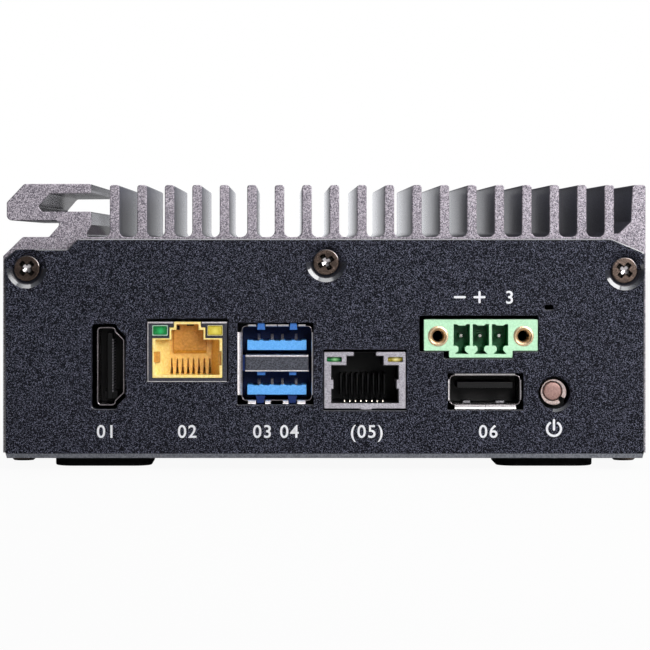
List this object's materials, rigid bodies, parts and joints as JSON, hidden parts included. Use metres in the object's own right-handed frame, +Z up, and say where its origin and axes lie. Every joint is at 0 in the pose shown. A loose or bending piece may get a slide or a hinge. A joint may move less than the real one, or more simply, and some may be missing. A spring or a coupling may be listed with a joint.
{
  "type": "mini pc",
  "caption": "Fanless mini computer: finned aluminium extrusion with a clamp hook, closed by dark end panels, with sockets, a power terminal and a power button at the front.",
  "frame": {"origin": "on the floor under the middle of the case, at the underside of the feet", "axes": "+X to the right along the port face, -Y out of the port face towards the user, +Z up"},
  "size_m": [0.118, 0.084, 0.0521],
  "materials": {
    "bare_aluminium": "blasted and clear anodised",
    "dark_paint": "fine sand texture",
    "screw_nickel": "nickel plated",
    "foot_rubber": "matt",
    "board_laminate": "solder mask",
    "brass_turned": "turned",
    "chip_resin": "moulded",
    "pad_silicone": "soft",
    "cell_steel": "bright",
    "shield_steel": "tin plated",
    "black_plastic": "moulded",
    "gold_plastic": "moulded, satin",
    "grey_plastic": "moulded",
    "contact_gold": "gold flash",
    "green_lens": "clear moulded",
    "yellow_lens": "clear moulded",
    "blue_plastic": "moulded",
    "mint_plastic": "moulded",
    "button_plastic": "moulded",
    "clear_plastic": "translucent moulded"
  },
  "bodies": {
    "case": {"heatsink": "bare_aluminium", "front_panel": "dark_paint", "rear_panel": "dark_paint", "bottom_plate": "dark_paint", "front_screw_left": "screw_nickel", "front_screw_middle": "screw_nickel", "front_screw_right": "screw_nickel", "rear_screw_left": "screw_nickel", "rear_screw_middle": "screw_nickel", "rear_screw_right": "screw_nickel", "bottom_screw_front_left": "screw_nickel", "bottom_screw_front_right": "screw_nickel", "bottom_screw_rear_left": "screw_nickel", "bottom_screw_rear_right": "screw_nickel", "foot_front_left": "foot_rubber", "foot_front_right": "foot_rubber", "foot_rear_left": "foot_rubber", "foot_rear_right": "foot_rubber", "mainboard": "board_laminate", "standoff_front_left": "brass_turned", "standoff_front_right": "brass_turned", "standoff_rear_left": "brass_turned", "standoff_rear_right": "brass_turned", "board_screw_front_left": "screw_nickel", "board_screw_front_right": "screw_nickel", "board_screw_rear_left": "screw_nickel", "board_screw_rear_right": "screw_nickel", "processor": "chip_resin", "thermal_pad": "pad_silicone", "heat_block": "bare_aluminium", "storage_module": "board_laminate", "storage_socket": "black_plastic", "storage_post": "brass_turned", "coin_cell": "cell_steel", "video_port_shell": "shield_steel", "video_port_insulator": "black_plastic", "upper_jack_shield": "shield_steel", "upper_jack_housing": "gold_plastic", "upper_jack_contacts": "contact_gold", "upper_jack_lamp_left": "green_lens", "upper_jack_lamp_right": "yellow_lens", "upper_jack_riser": "black_plastic", "double_port_shell": "shield_steel", "double_port_insulator": "blue_plastic", "lower_jack_shield": "shield_steel", "lower_jack_housing": "grey_plastic", "lower_jack_contacts": "contact_gold", "lower_jack_lamp_left": "green_lens", "lower_jack_lamp_right": "yellow_lens", "single_port_shell": "shield_steel", "single_port_insulator": "black_plastic", "terminal_header": "mint_plastic", "terminal_insert_left": "brass_turned", "terminal_insert_right": "brass_turned", "terminal_pins": "contact_gold", "power_board": "board_laminate", "board_link": "black_plastic", "power_switch": "black_plastic", "power_button_ring": "clear_plastic"},
    "button": {"power_button": "button_plastic"}
  },
  "joints": [
    {"name": "power_press", "type": "slide", "parent": "case", "child": "button", "axis": [0, 1, 0], "range_m": [0, 0.0005], "stiffness_N_per_m": 200}
  ]
}
